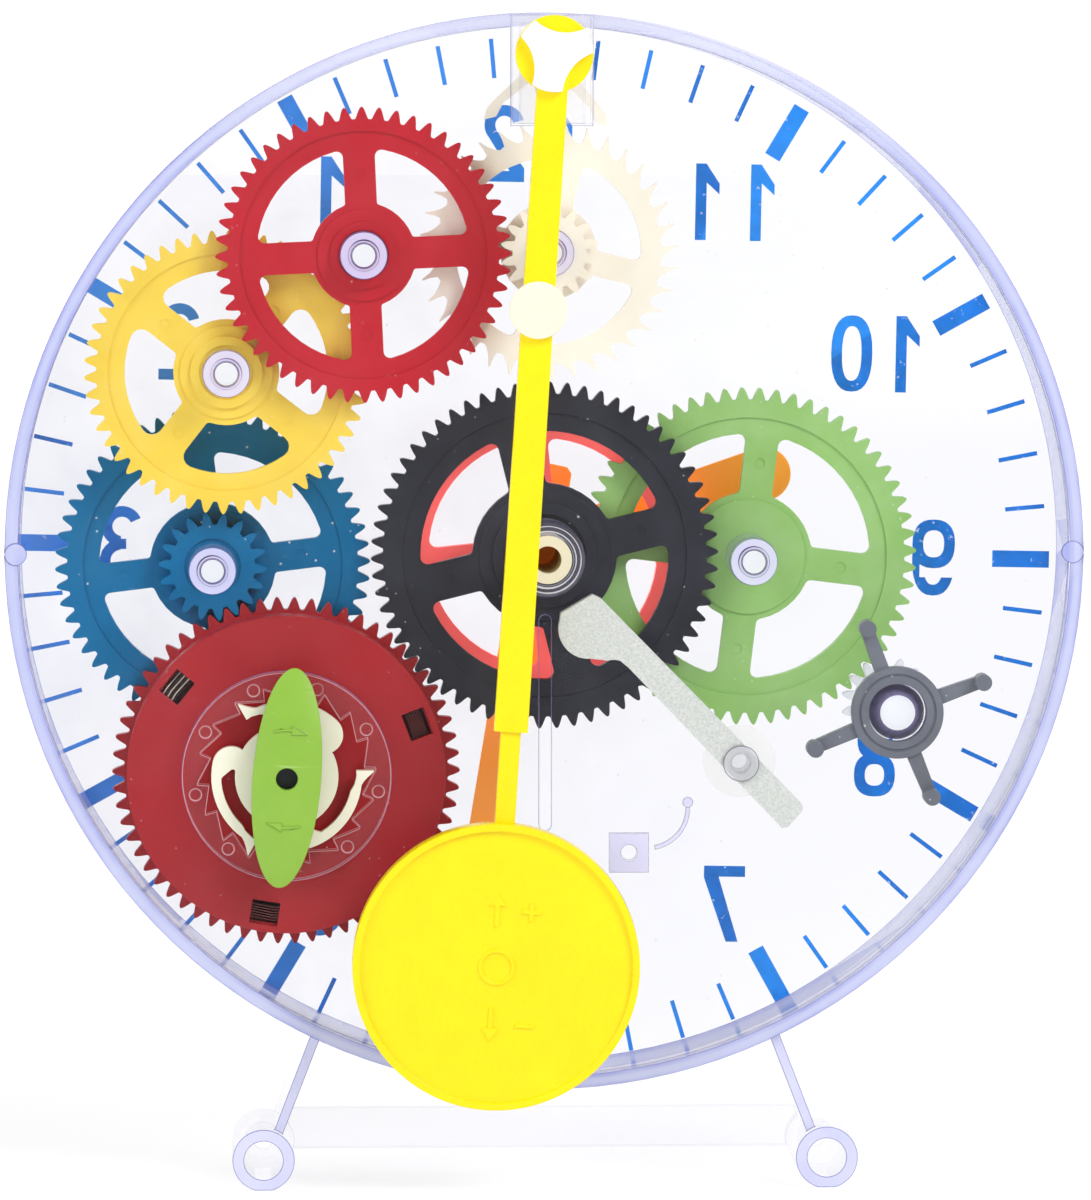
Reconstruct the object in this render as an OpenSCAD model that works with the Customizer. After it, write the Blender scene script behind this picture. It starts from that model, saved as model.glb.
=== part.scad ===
// Pendulum clock model: a see-through round clock whose gear train,
// mainspring barrel, escapement and pendulum can all be watched.
// Shapes are drawn in a "rear view" frame: u to the right and v up as seen
// from behind the clock, w towards the viewer. place() turns that frame into
// the part's own: dial facing -Y, Z up, origin under the middle of the clock.

/* [Case] */
// Outside radius of the clear case ring
case_r = 98.5; // [97.5:0.1:99.5]
// Wall thickness of the case ring
rim_t = 2.4; // [2:0.1:2.8]
// Depth of the case ring behind the dial plate
rim_depth = 24; // [23.6:0.1:24.4]
// Thickness of the dial plate
dial_t = 2; // [1.6:0.1:2]
// Height of the printed numerals
numeral_h = 14.2; // [11:0.1:15]

/* [Stand] */
// Height of the arbor centre over the feet tube axis
foot_drop = 111.3; // [110:0.1:114]
// Sideways distance of each foot tube from the middle
foot_u = 51.7; // [50:0.1:54]
// Outside radius of a foot tube
foot_r = 5.7; // [5:0.1:6.5]
// Bore radius of a foot tube
foot_bore_r = 3.55; // [3:0.05:4]

/* [Gears] */
// Pressure angle of every gear
pressure_angle = 24; // [22:0.5:26]
// Total play between meshing teeth at the pitch circle
backlash = 0.34; // [0.26:0.02:0.5]
// Thickness of each toothed rim
gear_t = 3; // [2.4:0.1:3.2]
// Radius of the fixed clear pins the wheels turn on
pin_r = 2.2; // [1.8:0.05:2.25]
// Running clearance between a pin and its wheel
run_gap = 0.07; // [0.04:0.01:0.1]

/* [Pendulum] */
// Distance from pendulum pivot to bob centre
pend_len = 165.7; // [160:0.1:168]
// Tilt of the resting pendulum from plumb, towards the barrel
pend_tilt = 3.7; // [0:0.1:4.5]
// Radius of the bob
bob_r = 26.1; // [24:0.1:27]

/* [Hands] */
// Length of the minute hand from the centre
minute_len = 81; // [70:0.5:84]
// Length of the hour hand from the centre
hour_len = 48.8; // [40:0.2:55]

/* [Hidden] */

$fn = 96;
e = 0.01;

// depth of each layer (w), dial plate's rear face = 0
w5 = 1;  // hour wheel and reduction pinion
w4 = 5;  // reduction wheel, second wheel
w3 = 9;  // centre wheel, barrel teeth
w2 = 13; // third wheel, escape wheel
w1 = 17; // fourth wheel
wb0 = 21; // rear plate, inner face
wb1 = 23; // rear plate, outer face
w_front = -8.4;
w_back = 37.2;
foot_flat = 0.2;
cz = foot_drop + foot_r - foot_flat;
y_mid = -(w_front + w_back) / 2;

// tooth counts
n_barrel = 62; n_centre = 62; n_p2 = 18; n_w2 = 56; n_p3 = 16; n_w3 = 50;
n_p4 = 16; n_w4 = 52; n_pe = 16; n_esc = 36;
n_cp = 15; n_red = 60; n_redp = 19; n_hour = 57; n_set = 15;

// arbor positions (u, v)
function off(p, d, a) = [p[0] + d * cos(a), p[1] + d * sin(a)];
a_cb = 219.74; a_b2 = 109.6; a_23 = 85.85; a_34 = 40.63; a_4e = 0.8;
a_cr = -0.85; a_rs = -46.43;
motion_d = 37.75;
p_c = [0.37, -1.14]; // the works sit a little below the middle of the case
p_b = off(p_c, 62, a_cb);
p_2 = off(p_b, 40, a_b2);
p_3 = off(p_2, 36, a_23);
p_4 = off(p_3, 33, a_34);
p_e = off(p_4, 34, a_4e);
p_r = off(p_c, motion_d, a_cr);
p_s = off(p_r, motion_d, a_rs);
p_piv = [1.24, 90.87];
p_lev = [35.5, -38.2];
m_cr = motion_d * 2 / (n_cp + n_red);
m_rh = motion_d * 2 / (n_redp + n_hour);

// tooth phase (angle of one tooth centre) of gear b that meshes with gear a
// standing in direction t from a to b
function mesh(pa, na, nb, t) = t + 180 + (t - pa) * na / nb + 180 / nb;
ph_b = 0;
ph_c = mesh(ph_b, n_barrel, n_centre, a_cb - 180);
ph_p2 = mesh(ph_b, n_barrel, n_p2, a_b2);
ph_w2 = 1.4;
ph_p3 = mesh(ph_w2, n_w2, n_p3, a_23);
ph_w3 = 2.2;
ph_p4 = mesh(ph_w3, n_w3, n_p4, a_34);
ph_w4 = 0.6;
ph_pe = mesh(ph_w4, n_w4, n_pe, a_4e);
ph_cp = 0;
ph_r = mesh(ph_cp, n_cp, n_red, a_cr);
ph_rp = 0;
ph_h = mesh(ph_rp, n_redp, n_hour, a_cr + 180);
ph_s = mesh(ph_r, n_red, n_set, a_rs);

// ---------- helpers ----------
module place() translate([0, y_mid, cz]) rotate([90, 0, 180]) children();
module at(p, w = 0) translate([p[0], p[1], w]) children();
module disc(r, a, b) translate([0, 0, a]) cylinder(r = r, h = b - a);
module pipe(ro, ri, a, b) difference() {
  disc(ro, a, b);
  disc(ri, a - 1, b + 1);
}
module slab(a, b) translate([0, 0, a]) linear_extrude(height = b - a) children();
function pol(r, a) = [r * cos(a), r * sin(a)];
function arc_pts(c, r, a0, a1, n) =
  [for (i = [0:n]) [c[0] + r * cos(a0 + (a1 - a0) * i / n),
                    c[1] + r * sin(a0 + (a1 - a0) * i / n)]];

// involute gear outline
function inv(rb, r) = r <= rb ? 0 : sqrt(r * r / (rb * rb) - 1) * 180 / PI - acos(rb / r);
function half_a(m, n, r) = let (r0 = m * n / 2, rb = r0 * cos(pressure_angle))
  (PI * m - backlash) / 4 / r0 * 180 / PI + inv(rb, r0) - inv(rb, r);
function tooth_pts(m, n, c) =
  let (r0 = m * n / 2, rr = r0 - 1.22 * m, ra = r0 + m,
       rc = max(rr + 0.25, r0 * cos(pressure_angle)),
       h = [half_a(m, n, rc) + 10 / r0, half_a(m, n, rc), half_a(m, n, r0 + 0.1),
            half_a(m, n, ra - 0.24), half_a(m, n, ra) - 8 / r0],
       r = [rr, rc, r0 + 0.1, ra - 0.24, ra])
  concat([for (i = [0:4]) pol(r[i], c - h[i])],
         [for (i = [4:-1:0]) pol(r[i], c + h[i])]);
module gear2d(m, n, phase)
  polygon([for (k = [0:n - 1]) each tooth_pts(m, n, phase + k * 360 / n)]);

// window between two spokes, all four corners rounded
function window_pts(rh, ri, sw, fo, fi) =
  let (y0 = sw / 2,
       cx = sqrt(pow(ri - fo, 2) - pow(y0 + fo, 2)), ta = atan2(y0 + fo, cx),
       dx = sqrt(pow(rh + fi, 2) - pow(y0 + fi, 2)), td = atan2(y0 + fi, dx),
       half = concat(arc_pts([dx, y0 + fi], fi, 180 + td, 270, 3),
                     arc_pts([cx, y0 + fo], fo, -90, ta, 4)),
       n = len(half))
  concat(half, arc_pts([0, 0], ri, ta, 90 - ta, 10),
         [for (i = [n - 1:-1:0]) [half[i][1], half[i][0]]],
         arc_pts([0, 0], rh, 90 - td, td, 6));
module windows(rh, ri, sw, a, fo, fi)
  for (k = [0:3]) rotate(a + 90 * k) polygon(window_pts(rh, ri, sw, fo, fi));

// wheel blank: toothed rim, thinner web with four spokes, hub
module wheel(m, n, phase, w, rh, ri, sw, a, rstep, bore, fo = 1.2, fi = 0.6)
  difference() {
    slab(w, w + gear_t) gear2d(m, n, phase);
    slab(w - 1, w + gear_t + 1) windows(rh, ri, sw, a, fo, fi);
    disc(bore, w - 1, w + gear_t + 1);
    pipe(rstep, rh - 1.2, w + gear_t - 0.35, w + gear_t + 1);
    // shallow round marks the moulding pins leave on the spokes
    for (k = [0:3]) rotate(a + 90 * k) translate([(rh + ri) / 2, 0, 0])
      disc(1, w + gear_t - 0.5, w + gear_t);
  }

module arc2d(c, r, t, a0, a1, n = 16) // curved bar, flat ends
  polygon(concat(arc_pts(c, r + t / 2, a0, a1, n), arc_pts(c, r - t / 2, a1, a0, n)));

// ---------- clear case ----------
module dial_plate() color([0.86, 0.87, 0.95, 0.35]) place() difference() {
  union() {
    disc(case_r, -dial_t, 0);
    for (p = [p_2, p_3, p_s]) at(p) disc(4.3, -e, 4.5);
    for (p = [p_4, p_e]) at(p) disc(4.1, -e, 12.5);
    at(p_r) disc(3.4, -e, 0.6);
    at(p_b) disc(5.2, -e, 8.4);
    at(p_piv) disc(3, -e, 12.4);
  }
  at(p_c) disc(6.65, -dial_t - 1, 1);
  for (p = [p_2, p_3, p_s, p_4, p_e, p_r]) at(p) disc(pin_r + 0.02, -1.1, 20);
  at(p_b) disc(3.08, 1, 20);
  at(p_piv) disc(1.57, 2, 20);
}

// numerals, drawn as read from the dial side, t = stroke
module bowl(w, h, t, n = 28) difference() {
  polygon([for (i = [0:n - 1]) let (a = i * 360 / n) [w / 2 * sgn_pow(cos(a)), h / 2 * sgn_pow(sin(a))]]);
  polygon([for (i = [0:n - 1]) let (a = i * 360 / n) [(w / 2 - t) * sgn_pow(cos(a)), (h / 2 - t) * sgn_pow(sin(a))]]);
}
function sgn_pow(x) = sign(x) * pow(abs(x), 0.82);
module digit(d) {
  h = numeral_h; t = 0.142 * h; w = 0.54 * h;
  if (d == 0) bowl(w, h, t);
  if (d == 1) union() {
    translate([0, -h / 2]) square([t, h]);
    polygon([[0.1, h / 2], [-0.24 * h + t / 2, 0.24 * h], [-0.24 * h + t / 2, 0.1 * h], [0.1, 0.26 * h]]);
  }
  if (d == 2) union() {
    arc2d([0, h * 0.24], h * 0.19, t, -35, 165, 16);
    polygon([[h * 0.19 * cos(-35) + t * 0.42, h * 0.24 - h * 0.14], [h * 0.19 * cos(-35) - t * 0.42, h * 0.24 - h * 0.08],
      [-w / 2, -h / 2 + t * 1.25], [-w / 2, -h / 2 + t * 0.4], [-w / 2 + t * 1.1, -h / 2 + t * 0.6]]);
    translate([-w / 2, -h / 2]) square([w, t]);
  }
  if (d == 3) union() {
    arc2d([0, h * 0.232], h * 0.197, t, -85, 155, 16);
    arc2d([0, -h * 0.215], h * 0.214, t, -155, 85, 16);
    translate([-h * 0.06, -t * 0.45]) square([h * 0.09, t * 0.95]);
  }
  if (d == 4) union() {
    translate([w * 0.12, -h / 2]) square([t, h]);
    polygon([[w * 0.12 + t, h / 2], [w * 0.12 - t * 0.1, h / 2], [-w * 0.56, -h * 0.1],
      [-w * 0.56, -h * 0.1 - t * 0.55], [-w * 0.56 + t * 1.05, -h * 0.1], [w * 0.12 + t * 0.5, h * 0.36]]);
    translate([-w * 0.56, -h * 0.1 - t]) square([w * 1.1, t]);
  }
  if (d == 5) union() {
    arc2d([0, -h * 0.18], h * 0.249, t, -150, 128, 20);
    translate([-w * 0.42, h / 2 - t]) square([w * 0.84, t]);
    polygon([[-w * 0.42, h / 2 - t * 0.2], [-w * 0.42 + t, h / 2 - t * 0.2], [-w * 0.46 + t, h * 0.05], [-w * 0.5, -h * 0.03]]);
  }
  if (d == 6) rotate(180) digit9();
  if (d == 7) union() {
    translate([-w / 2, h / 2 - t]) square([w, t]);
    polygon([[w / 2, h / 2 - t * 0.3], [w / 2, h / 2 - t * 1.1], [-w * 0.06, -h / 2], [-w * 0.06 - t * 1.12, -h / 2], [w / 2 - t * 1.3, h / 2 - t * 0.8]]);
  }
  if (d == 8) union() {
    translate([0, h * 0.245]) bowl(w * 0.86, h * 0.51, t);
    translate([0, -h * 0.215]) bowl(w, h * 0.57, t);
  }
  if (d == 9) digit9();
}
module digit9() {
  h = numeral_h; t = 0.142 * h; w = 0.56 * h;
  translate([0, h * 0.18]) bowl(w, h * 0.64, t);
  // tail: outer side of a tall oval, open at the lower left
  difference() {
    bowl(w, h, t);
    translate([-w, -h * 0.26]) square([w * 1.32, h]);
    translate([-w, -h * 0.26]) square([w * 0.9, h]);
    polygon([[-w, h], [w * 0.2, h], [w * 0.2, h * 0.1], [-w, h * 0.1]]);
  }
}
module numeral(n) {
  if (n < 10) digit(n);
  else {
    translate([-0.3 * numeral_h, 0]) digit(1);
    translate([0.42 * numeral_h, 0]) digit(n - 10);
  }
}
module dial_markings() color([0.1, 0.42, 0.85]) place() translate([-0.9, -1.2]) rotate(-1.1) slab(-dial_t - 0.2, -dial_t) mirror([1, 0]) union() {
  for (k = [0:59]) rotate(k * 6)
    if (k % 5 == 0) translate([85.3, -1.55]) square([10.6, 3.1]);
    else translate([88, -0.4]) square([7.3, 0.8]);
  for (h = [1:12]) translate([75.5 * sin(h * 30) + 1.2, 75.5 * cos(h * 30)]) numeral(h);
}

module case_rim() color([0.78, 0.77, 0.93, 0.45]) place() difference() {
  union() {
    pipe(case_r, case_r - rim_t, 0, rim_depth);
    for (s = [-1, 1]) difference() {
      translate([s * (case_r - 2), 0, 0]) disc(2, wb1 + 0.1, rim_depth + 0.3);
      disc(case_r - rim_t - 2.2, wb1 - 1, rim_depth + 1);
    }
  }
  // seat of the suspension bracket
  translate([p_piv[0] - 7.42, 80, 16.3]) cube([14.84, 30, 20]);
}

module back_plate() color([0.86, 0.87, 0.95, 0.3]) place() difference() {
  union() {
    disc(case_r - rim_t - 0.06, wb0, wb1);
    // long bosses that carry the rear ends of the pins, each down to its wheel
    at(p_4) disc(4.3, 20.4, 24.4);
    at(p_e) disc(4.3, 20.4, 24.4);
    at(p_3) disc(4.3, 16.5, 24.4);
    at(p_2) disc(4.3, 12.5, 24.4);
    at(p_r) disc(4.3, 8.5, 24.4);
    at(p_s) disc(4.6, 8.5, 24.6);
    at(p_c) disc(6.9, 12.6, 25);
    at([15.3, -55]) translate([-3.6, -3.6, wb1 - e]) cube([7.2, 7.2, 1.2 + e]);
    at([18.8, -46.9]) slab(wb1 - e, wb1 + 0.6) arc2d([0, 0], 7.3, 0.7, -80, 10, 12);
    at([26.1, -45.8]) disc(0.9, wb1 - e, wb1 + 0.8);
    at(p_lev) disc(2.6, wb1 - e, wb1 + 0.2);
  }
  for (p = [p_4, p_e, p_3, p_2, p_r]) at(p) disc(pin_r + 0.02, 0, 30);
  at(p_s) disc(2.58, 0, 30);
  at(p_c) disc(4.47, 0, 30);
  at(p_b) disc(19.15, 20, 30);
  at([15.3, -55]) disc(1.5, wb1 - 1, 30);
  at(p_lev) disc(1.72, wb0 - 1, 30);
  // long slot under the centre
  translate([0, -31.2, wb0 - 1]) union() {
    translate([-1.1, -18.7, 0]) cube([2.2, 37.4, 4]);
    for (s = [-1, 1]) translate([0, s * 18.7, 0]) cylinder(r = 1.1, h = 4, $fn = 32);
  }
  // opening behind the suspension bracket
  translate([p_piv[0] - 7.42, 77.9, 15]) cube([14.84, 30, 20]);
}

// inward saw teeth that hold the click
module ratchet_ring() color([0.9, 0.86, 0.9, 0.4]) place() at(p_b) difference() {
  disc(19.1, wb0, wb1 + 1.6);
  slab(wb0 - 1, wb1 + 3) polygon([for (k = [0:17]) each [pol(16.25, k * 20 + 4.2), pol(16.3, k * 20 + 4.9), pol(14.2, k * 20 + 6.1)]]);
  for (k = [0:8]) rotate(30.8 + k * 40) translate([16.95, 0, 0]) disc(1.1, wb1 + 1.35, wb1 + 2);
}

module suspension_bracket() color([0.86, 0.86, 0.96, 0.4]) place() difference() {
  translate([p_piv[0] - 7.4, 78.2, 16.4]) cube([14.8, 19.8, 11.8]);
  translate([p_piv[0] - 5.9, 70, 17.9]) cube([11.8, 26.5, 8.7]);
  at(p_piv) disc(1.57, 0, 40);
}

module stand_leg(s) {
  difference() {
    union() {
      slab(-3, 22) polygon([[s * 40.6, -87.4], [s * 42.6, -87.4], [s * 50.5, -108], [s * 48.6, -108]]);
      translate([s * foot_u, -foot_drop, 0]) disc(foot_r, -5, 24.6);
    }
    disc(case_r + 0.03, -20, 40);
    translate([s * foot_u, -foot_drop, 0]) disc(foot_bore_r, -3, 40);
    translate([s * foot_u, -foot_drop, 0]) disc(1.8, -10, 40);
    translate([s * foot_u - 10, -foot_drop - foot_r - 5, -10]) cube([20, 5 + foot_flat, 50]);
  }
}
module stand_leg_left() color([0.78, 0.77, 0.93, 0.45]) place() stand_leg(-1);
module stand_leg_right() color([0.78, 0.77, 0.93, 0.45]) place() stand_leg(1);
module stand_crossbar() color([0.88, 0.88, 0.96, 0.35]) place() difference() {
  translate([-foot_u, -112.5, -1.5]) cube([2 * foot_u, 7.7, 2]);
  for (s = [-1, 1]) translate([s * foot_u, -foot_drop, 0]) disc(foot_r + 0.02, -20, 40);
  for (s = [-1, 1]) slab(-5, 24) polygon([[s * 40.58, -87.4], [s * 48.58, -108], [s * 48.58, -113],
    [s * 60, -113], [s * 60, -87.4]]);
}

module axle_pins() color([0.9, 0.9, 0.97, 0.6]) place() {
  for (p = [p_2, p_3, p_4, p_e, p_r]) at(p) disc(pin_r, -1, 24.3);
}
module lever_pin() color([0.9, 0.9, 0.97, 0.6]) place() at(p_lev) union() {
  disc(1.7, wb0 + 0.2, 29);
  disc(3.3, 28.6, 29.4);
}
module lever_washer() color([0.93, 0.92, 0.86, 0.6]) place() at(p_lev) pipe(6.6, 2.65, wb1 + 0.03, wb1 + 1.2);

// ---------- mainspring barrel and winding ----------
module barrel_gear() color([0.72, 0.05, 0.1]) place() at(p_b) union() {
  difference() {
    slab(w3, w3 + gear_t) gear2d(1, n_barrel, ph_b);
    disc(3.07, w3 - 1, w3 + gear_t + 1);
  }
  pipe(29.2, 27.6, w3 + gear_t - e, 18.6);
}
module barrel_cover() color([0.72, 0.05, 0.1]) place() at(p_b) difference() {
  union() {
    disc(29.2, 18.6, 20.1);
    disc(27.5, 18.0, 18.6 + e);
  }
  disc(3.07, 17, 22);
  for (a = [21, 141, 261]) rotate(a) translate([25.7 - 2.15, -2.55, 17]) cube([4.3, 5.1, 5]);
}
// a few open turns from the arbor, then turns packed against the drum wall
function spring_r(i) = i < 120 ? 8.9 + 15.5 * i / 120 : 24.4 + 2.88 * (i - 120) / 180;
module mainspring() color([0.7, 0.71, 0.73]) place() at(p_b) slab(w3 + gear_t + 0.4, 17.7) polygon(concat(
  [for (i = [0:300]) pol(spring_r(i) + 0.11, i * 12)],
  [for (i = [300:-1:0]) pol(spring_r(i) - 0.11, i * 12)]));
module winding_arbor() color([0.13, 0.13, 0.15]) place() at(p_b) union() {
  disc(3, 1.2, 25.95);
  disc(7.7, w3 + gear_t + 0.3, 17.7);
}
// hub, three root lobes and three curved spring arms with hooked ends
function click_pts() =
  let (lc = [10.25 * cos(-71.7), 10.25 * sin(-71.7)])
  [for (i = [0:11]) let (t = -186 + 114.3 * i / 11) [lc[0] + 3.5 * cos(t), lc[1] + 3.5 * sin(t)],
   for (i = [1:13]) pol(13.76, -71.7 + 65.2 * i / 13),
   pol(14.1, -3.8), pol(14.75, -0.6), pol(15.8, 2.7), pol(16, 3.5), pol(16, 3.9), pol(12.75, 4.9),
   pol(12.75, 0), pol(12.45, -7),
   for (i = [0:10]) pol(11.95, -13 - 45.5 * i / 10),
   pol(11.6, -60.6), pol(10.2, -67.6), pol(9.9, -68.2), pol(9.55, -67.9),
   for (i = [0:13]) pol(9.45, -66 + 90.5 * i / 13)];
module click_wheel() color([0.93, 0.91, 0.83]) place() at(p_b) difference() {
  slab(21.9, 24.2) polygon([for (k = [0:2]) each
    [for (q = click_pts()) [q[0] * cos(120 * k) - q[1] * sin(120 * k), q[0] * sin(120 * k) + q[1] * cos(120 * k)]]]);
  disc(3.04, 20, 30);
}
module winding_knob() color([0.56, 0.8, 0.24]) place() at(p_b) difference() {
  union() {
    rotate(-4.6) intersection() {
      slab(25.9, 29.2) knob2d();
      // slightly crowned face
      translate([0, 0, 29.2 - 90]) rotate([90, 0, 90]) translate([0, 0, -8]) cylinder(r = 90, h = 16, $fn = 360);
    }
    // raised arrows: the way to wind
    for (a = [0, 180]) rotate(a - 4.6) translate([0, 0, 27.6]) linear_extrude(height = 1.42)
      polygon([for (i = [0:5]) pol(8.7, 110 - 4.4 * i), pol(8.05, 88.6), pol(8.85, 68.4), pol(9.75, 89.4),
        for (i = [5:-1:0]) pol(9.15, 110 - 4.4 * i)]);
    disc(5, 24.5, 26);
  }
  disc(3.03, 20, 25.96);
  disc(2, 20, 40);
}
module knob2d() // long ellipse
  polygon([for (i = [0:71]) [6.25 * cos(i * 5), 20.15 * sin(i * 5)]]);

// ---------- going train ----------
module second_wheel() color([0.02, 0.35, 0.5]) place() at(p_2) union() {
  wheel(1, n_w2, ph_w2, w4, 11.6, 20.9, 5.4, 7, 23.9, pin_r + run_gap);
  difference() {
    union() {
      slab(w4 + gear_t - e, w3 + gear_t) gear2d(1, n_p2, ph_p2);
    }
    disc(pin_r + run_gap, 0, 30);
    disc(5.2, w3 + gear_t - 0.5, 30);
  }
}
module third_wheel() color([0.97, 0.82, 0.16]) place() at(p_3) union() {
  wheel(1, n_w3, ph_w3, w2, 9.7, 18.6, 5.8, 52, 21.7, pin_r + run_gap, 2, 0.8);
  difference() {
    union() {
      slab(w4, w4 + gear_t) gear2d(1, n_p3, ph_p3);
      disc(5.6, w4 + gear_t - e, w2 + e);
      pipe(6.6, 5, w2 + gear_t - e, w2 + gear_t + 0.6);
    }
    disc(pin_r + run_gap, 0, 30);
  }
}
module fourth_wheel() color([0.74, 0.04, 0.12]) place() at(p_4) union() {
  wheel(1, n_w4, ph_w4, w1, 9.6, 19.5, 5.8, 2.5, 22.6, pin_r + run_gap, 1.2, 0.5);
  difference() {
    union() {
      slab(w2, w2 + gear_t) gear2d(1, n_p4, ph_p4);
      disc(6.4, w2 + gear_t - e, w1 + e);
      pipe(6.1, 4.6, w1 + gear_t - e, w1 + gear_t + 0.6);
    }
    disc(pin_r + run_gap, 0, 30);
  }
}
module escape_wheel() color([0.93, 0.9, 0.8]) place() at(p_e) union() {
  difference() {
    slab(w2, w2 + gear_t) polygon([for (k = [0:n_esc - 1]) let (c = k * 10 + 3)
      each [pol(20.5, c - 7.6), pol(21.1, c - 5.2), pol(22.2, c - 2.6), pol(23.6, c - 0.9), pol(23.7, c - 0.2), pol(22.2, c - 0.6), pol(20.8, c - 0.3)]]);
    slab(w2 - 1, w2 + gear_t + 1) windows(8.8, 17, 4.6, -14, 1.2, 0.6);
    disc(pin_r + run_gap, 0, 30);
  }
  difference() {
    union() {
      slab(w1, w1 + gear_t) gear2d(1, n_pe, ph_pe);
      disc(6.2, w2 + gear_t - e, w1 + e);
    }
    disc(pin_r + run_gap, 0, 30);
    disc(4.4, w1 + gear_t - 0.4, 30);
  }
}
module centre_wheel() color([0.1, 0.1, 0.12]) place() at(p_c) union() {
  difference() {
    union() {
      wheel(1, n_centre, ph_c, w3, 13.3, 22.9, 7, 14, 26.2, 4.42, 1.4, 0.8);
      pipe(9.6, 7.6, w3 + gear_t - e, w3 + gear_t + 0.7);
    }
    disc(7.2, w3 + gear_t - 0.6, 20);
  }
}

// ---------- motion work and hands ----------
module minute_arbor() color([0.93, 0.88, 0.74]) place() at(p_c) difference() {
  union() {
    disc(4.4, -7, 25.4);
    slab(w4, w4 + gear_t) gear2d(m_cr, n_cp, ph_cp);
  }
  disc(2.5, -8, 30);
}
module minute_hand() color([0.98, 0.6, 0.15]) place() at(p_c) difference() {
  rotate(257.8) union() {
    disc(7.2, -7, -5.6);
    slab(-7, -5.6) polygon(concat([[3, 4.6]], arc_pts([minute_len - 0.9, 0], 0.9, 82, -82, 8), [[3, -4.6]]));
    slab(-7, -5.6) polygon([[0, 3.4], [-15, 2.6], [-16, 1.6], [-16, -1.6], [-15, -2.6], [0, -3.4]]);
  }
  disc(4.43, -8, 0);
}
module hand_cap() color([0.96, 0.5, 0.1]) place() at(p_c) union() {
  disc(5.8, w_front, -7.02);
  disc(2.46, -7.1, -3);
}
module reduction_wheel() color([0.5, 0.74, 0.28]) place() at(p_r) union() {
  wheel(m_cr, n_red, ph_r, w4, 11.8, 22.7, 6, -7, 25.7, pin_r + run_gap, 1.4, 1);
  difference() {
    slab(w5, w4 + e) gear2d(m_rh, n_redp, ph_rp);
    disc(pin_r + run_gap, 0, 30);
  }
}
module hour_wheel() color([0.98, 0.42, 0.42]) place() at(p_c) difference() {
  union() {
    wheel(m_rh, n_hour, ph_h, w5, 10.5, 21.2, 6, 6, 24.4, 4.47, 1.4, 0.8);
    disc(6.55, -4.7, w5 + e);
  }
  disc(4.47, -10, 10);
}
module hour_hand() color([0.98, 0.6, 0.15]) place() at(p_c) difference() {
  rotate(18.8) union() {
    disc(9.2, -4.7, -3.3);
    slab(-4.7, -3.3) polygon(concat([[5, 4.6], [26, 4.9]], arc_pts([hour_len - 5, 0], 5, 90, -90, 20), [[26, -4.9], [5, -4.6]]));
  }
  disc(6.58, -8, 0);
}
module setting_pinion() color([0.9, 0.9, 0.95, 0.6]) place() at(p_s) union() {
  slab(w4, w4 + gear_t) gear2d(m_cr, n_set, ph_s);
  disc(2.5, w4 + gear_t - e, 25.5);
  disc(2.15, -0.9, w4 + e);
  translate([0, 0, 25.5 - e]) cylinder(r1 = 5.1, r2 = 3.2, h = 3);
}
module setting_knob() color([0.22, 0.22, 0.24]) place() at(p_s) union() {
  difference() {
    disc(8.4, 25.6, 28.8);
    translate([0, 0, 25.5]) cylinder(r1 = 5.3, r2 = 5.3, h = 10);
    pipe(7.1, 6.7, 28.5, 30);
  }
  for (a = [20, 110, 203, 292]) {
    slab(26, 28.2) polygon([pol(8, a - 10), pol(16.5, a - 4), pol(16.5, a + 4), pol(8, a + 10)]);
    rotate(a) translate([16.5, 0, 0]) disc(1.5, 26, 31.5);
  }
}
// brake lever: broad nose beside the centre boss, long straight arm
module stop_lever() color([0.74, 0.75, 0.74]) place() difference() {
  slab(25, 28.4) polygon(concat(
    [[8.4, -7.3]], [[9.9, -8.0]],
    [[46.6, -45.6], [46.9, -46.8], [44.2, -49.9], [43.0, -50.1]],
    [[14.9, -20.6], [13.3, -19.3]],
    arc_pts([12.2, -22.6], 3.4, 70, 108, 5),
    arc_pts([7.6, -13.6], 5.4, 275, 165, 14),
    [[2.6, -10.7]]));
  at(p_lev) disc(1.78, 20, 40);
}

// ---------- escapement anchor and pendulum ----------
module pend() translate([p_piv[0], p_piv[1], 0]) rotate(-pend_tilt) children();
module anchor() color([0.92, 0.89, 0.8]) place() pend() difference() {
  slab(w2 + 0.3, w2 + 2.7) union() {
    circle(r = 4);
    polygon([[-3.2, -2], [-9.4, -8.6], [-10.9, -10.5], [-11.4, -12.7], [-9.2, -12.0], [-8.0, -9.4], [-1.5, -3.6],
      [1.5, -3.6], [7.9, -9.4], [9.3, -12.0], [11.2, -12.4], [10.9, -10.3], [9.4, -8.6], [3.2, -2]]);
  }
  disc(1.52, 0, 30);
}
module anchor_arbor() color([0.75, 0.76, 0.78]) place() at(p_piv) disc(1.5, 2.3, 33.6);
module pendulum_rod() color([1, 0.93, 0.1]) place() pend() difference() {
  union() {
    disc(7, 30.6, 34.2);
    slab(30.8, 34.2) polygon([[-2.75, 0], [2.75, 0], [3.05, -123], [-3.05, -123]]);
  }
  disc(1.51, 20, 33.62);
  translate([-1.97, -140, 31.55]) cube([3.94, 67, 2.1]);
  at([0, -46.3]) disc(1.5, 33, 40);
}
module pendulum_cap() color([0.97, 0.96, 0.9]) place() pend() at([0, 0]) rotate(-8) difference() {
  disc(6.9, 34.22, 35.8);
  for (a = [92, 205, 333]) rotate(a) translate([12.2, 0, 0]) disc(8.2, 30, 40);
}
module rod_button() color([0.95, 0.94, 0.86]) place() pend() at([0, -46.3]) union() {
  disc(5.2, 34.22, 35.6);
  disc(1.45, 33.2, 34.3);
}
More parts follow.
